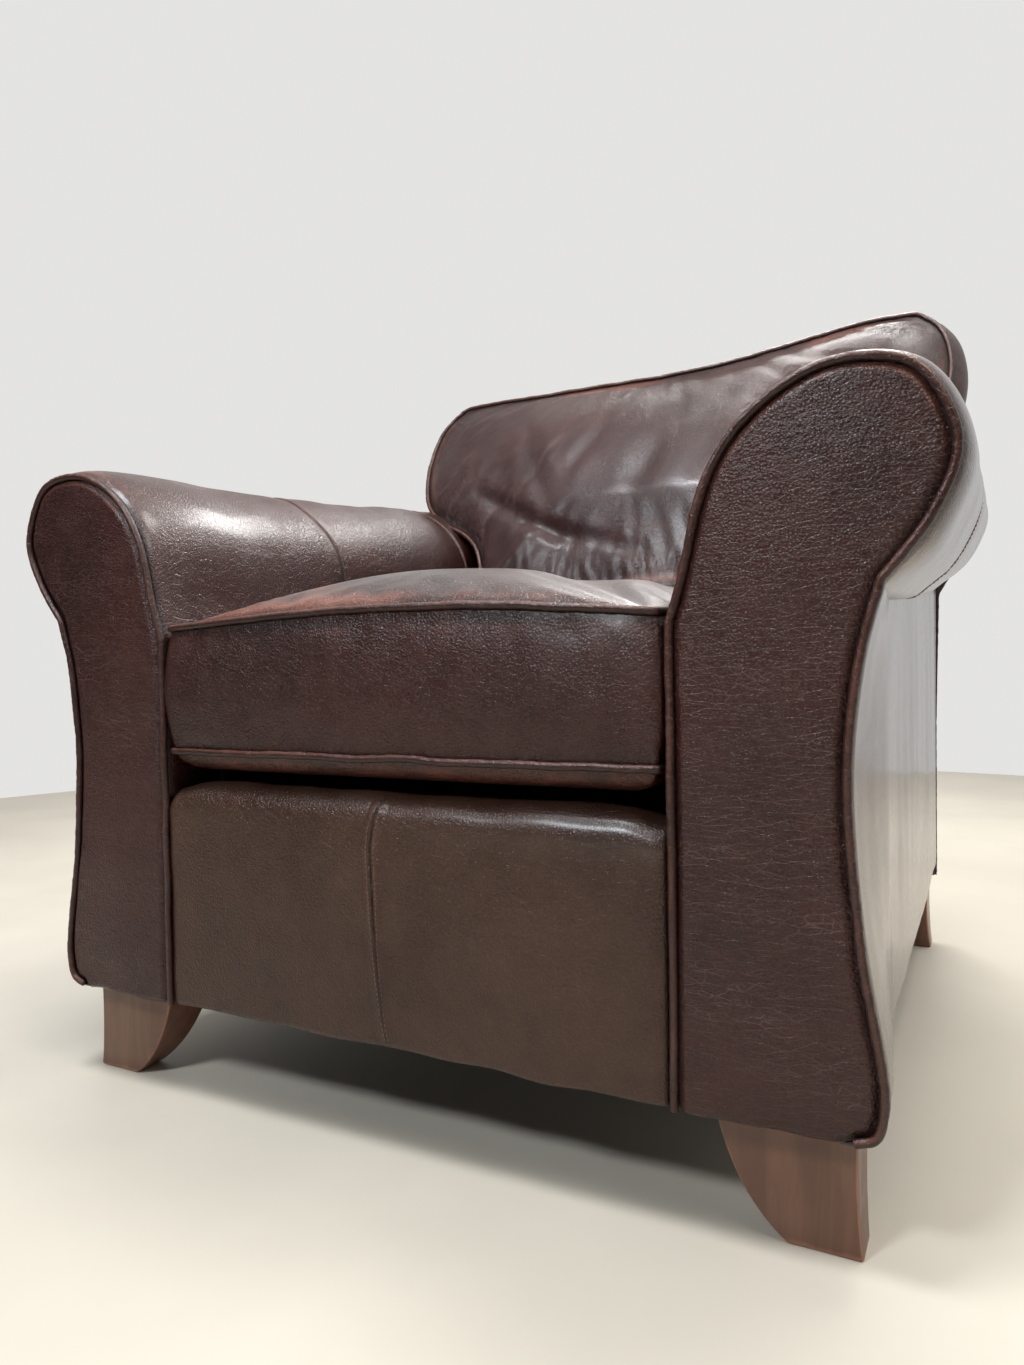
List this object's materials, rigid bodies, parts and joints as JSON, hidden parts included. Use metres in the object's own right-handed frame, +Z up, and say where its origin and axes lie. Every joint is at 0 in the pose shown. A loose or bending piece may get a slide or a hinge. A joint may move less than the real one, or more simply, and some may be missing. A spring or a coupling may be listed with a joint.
{
  "type": "worn leather club chair",
  "caption": "Low scroll-arm club chair in worn dark brown leather, with loose piped seat and back cushions and shaped wooden bracket feet.",
  "frame": {"origin": "middle of the chair's footprint box, on the floor under its soles", "axes": "+Z up, +Y towards the back of the chair, so the sitter looks along -Y; +X to the right of a person who looks at its front"},
  "size_m": [0.9262, 0.9334, 0.8954],
  "materials": {
    "leather": "satin dark brown hide with pebble grain, rubbed and creased",
    "piping": "leather-covered cord, rubbed to red-brown on its high side",
    "foot_wood": "satin red-brown stained hardwood",
    "frame_wood": "sawn unfinished beech",
    "black_cloth": "matt black woven cloth",
    "webbing": "woven elastic strap",
    "steel": "bright drawn wire and zinc-plated bolt"
  },
  "bodies": {
    "root": {"front_seat_rail": "frame_wood", "rear_seat_rail": "frame_wood", "left_seat_rail": "frame_wood", "right_seat_rail": "frame_wood", "left_arm_front_board": "frame_wood", "left_arm_rear_board": "frame_wood", "left_arm_top_rail": "frame_wood", "left_arm_base_rail": "frame_wood", "right_arm_front_board": "frame_wood", "right_arm_rear_board": "frame_wood", "right_arm_top_rail": "frame_wood", "right_arm_base_rail": "frame_wood", "left_back_post": "frame_wood", "right_back_post": "frame_wood", "back_top_rail": "frame_wood", "back_tack_rail": "frame_wood", "front_left_foot": "foot_wood", "front_left_foot_bolt": "steel", "front_left_foot_block": "frame_wood", "rear_left_foot": "foot_wood", "rear_left_foot_bolt": "steel", "rear_left_foot_block": "frame_wood", "front_right_foot": "foot_wood", "front_right_foot_bolt": "steel", "front_right_foot_block": "frame_wood", "rear_right_foot": "foot_wood", "rear_right_foot_bolt": "steel", "rear_right_foot_block": "frame_wood", "seat_spring_1": "steel", "seat_spring_2": "steel", "seat_spring_3": "steel", "seat_spring_4": "steel", "seat_spring_5": "steel", "back_webbing_1": "webbing", "back_webbing_2": "webbing", "back_webbing_3": "webbing", "left_arm_cover": "leather", "right_arm_cover": "leather", "left_outside_arm": "leather", "right_outside_arm": "leather", "left_arm_facing": "leather", "left_facing_piping": "piping", "right_arm_facing": "leather", "right_facing_piping": "piping", "front_border": "leather", "seat_deck": "black_cloth", "inside_back": "leather", "outside_back": "leather", "outside_back_piping": "piping", "left_back_side": "leather", "right_back_side": "leather", "dust_cover": "black_cloth", "seat_cushion": "leather", "seat_cushion_top_piping": "piping", "seat_cushion_bottom_piping": "piping", "back_cushion": "leather", "back_cushion_piping": "piping"}
  },
  "joints": []
}
